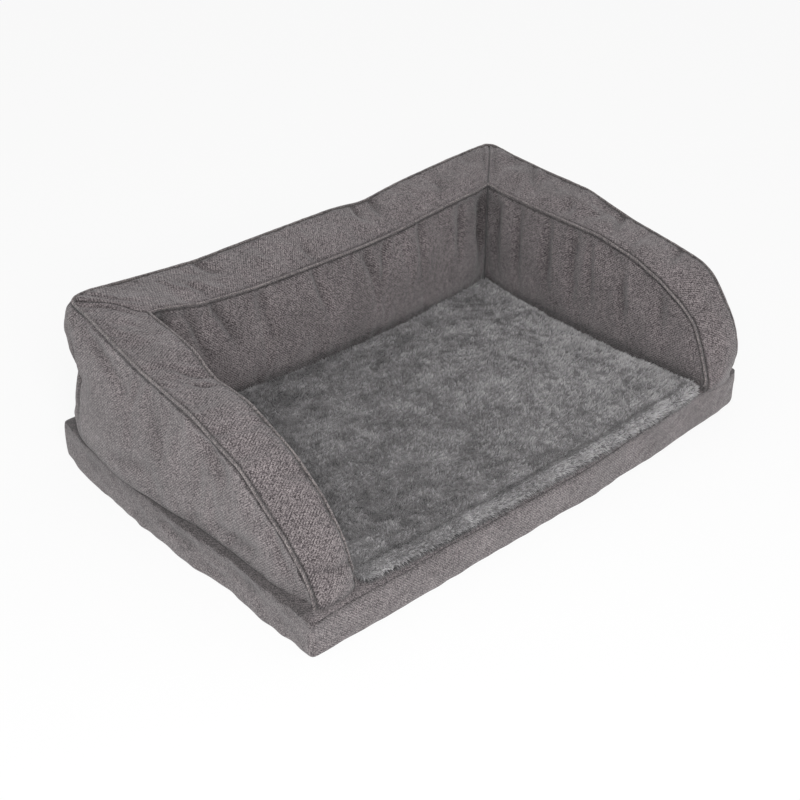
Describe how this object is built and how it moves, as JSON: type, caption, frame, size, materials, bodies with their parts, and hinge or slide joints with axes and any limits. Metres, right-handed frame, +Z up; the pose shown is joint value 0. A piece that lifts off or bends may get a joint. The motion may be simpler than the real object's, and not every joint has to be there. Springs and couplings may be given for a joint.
{
  "type": "orthopedic dog bed",
  "caption": "Sofa-style orthopedic dog bed: foam base in woven cover, U-shaped stuffed bolster with welted seams, loose plush pad and a zip in the back.",
  "frame": {"origin": "on the floor, at the middle of the bed's footprint", "axes": "+X towards the right arm as seen from the open front, +Y towards the back bolster, +Z up from the floor"},
  "size_m": [0.938, 0.6316, 0.2893],
  "materials": {
    "woven_cover": "heathered taupe-grey woven upholstery cloth",
    "welt_cloth": "the same woven cloth folded into a raised welt with a stitch line each side",
    "underside_cloth": "plain dark close-woven cloth",
    "plush": "short brushed blue-grey plush pile",
    "support_foam": "firm open-cell foam",
    "memory_foam": "soft slow-recovery foam",
    "fibre_filling": "white fibre filling",
    "zip_tape": "dark woven zip tape",
    "zip_coil": "dark moulded coil",
    "zip_metal": "dark grey coated die-cast metal"
  },
  "bodies": {
    "bed": {"base_bottom_panel": "underside_cloth", "base_front_band": "woven_cover", "base_left_band": "woven_cover", "base_right_band": "woven_cover", "base_back_band": "woven_cover", "deck_panel": "woven_cover", "support_foam": "support_foam", "memory_foam": "memory_foam", "left_outer_welt": "welt_cloth", "left_inner_welt": "welt_cloth", "back_outer_welt": "welt_cloth", "back_inner_welt": "welt_cloth", "right_outer_welt": "welt_cloth", "right_inner_welt": "welt_cloth", "left_outer_panel": "woven_cover", "left_gusset": "woven_cover", "left_inner_panel": "woven_cover", "left_filling": "fibre_filling", "right_outer_panel": "woven_cover", "right_gusset": "woven_cover", "right_inner_panel": "woven_cover", "right_filling": "fibre_filling", "back_outer_panel": "woven_cover", "back_gusset": "woven_cover", "back_inner_panel": "woven_cover", "back_filling": "fibre_filling", "zip_tapes": "zip_tape", "zip_chain": "zip_coil", "zip_stops": "zip_metal"},
    "pad": {"pad_plush": "plush", "pad_underside": "underside_cloth", "pad_filling": "fibre_filling"},
    "slider": {"zip_slider": "zip_metal"},
    "pull": {"zip_pull": "zip_metal"}
  },
  "joints": [
    {"name": "pad_lift", "type": "slide", "parent": "bed", "child": "pad", "axis": [0, 0, 1], "range_m": [0, 0.35]},
    {"name": "zip_travel", "type": "slide", "parent": "bed", "child": "slider", "axis": [-1, 0, 0], "range_m": [0, 0.718]},
    {"name": "pull_swing", "type": "hinge", "parent": "slider", "child": "pull", "pos_m": [0.3592, 0.3136, 0.033], "axis": [0, 0, -1], "range_deg": [0, 175]}
  ]
}
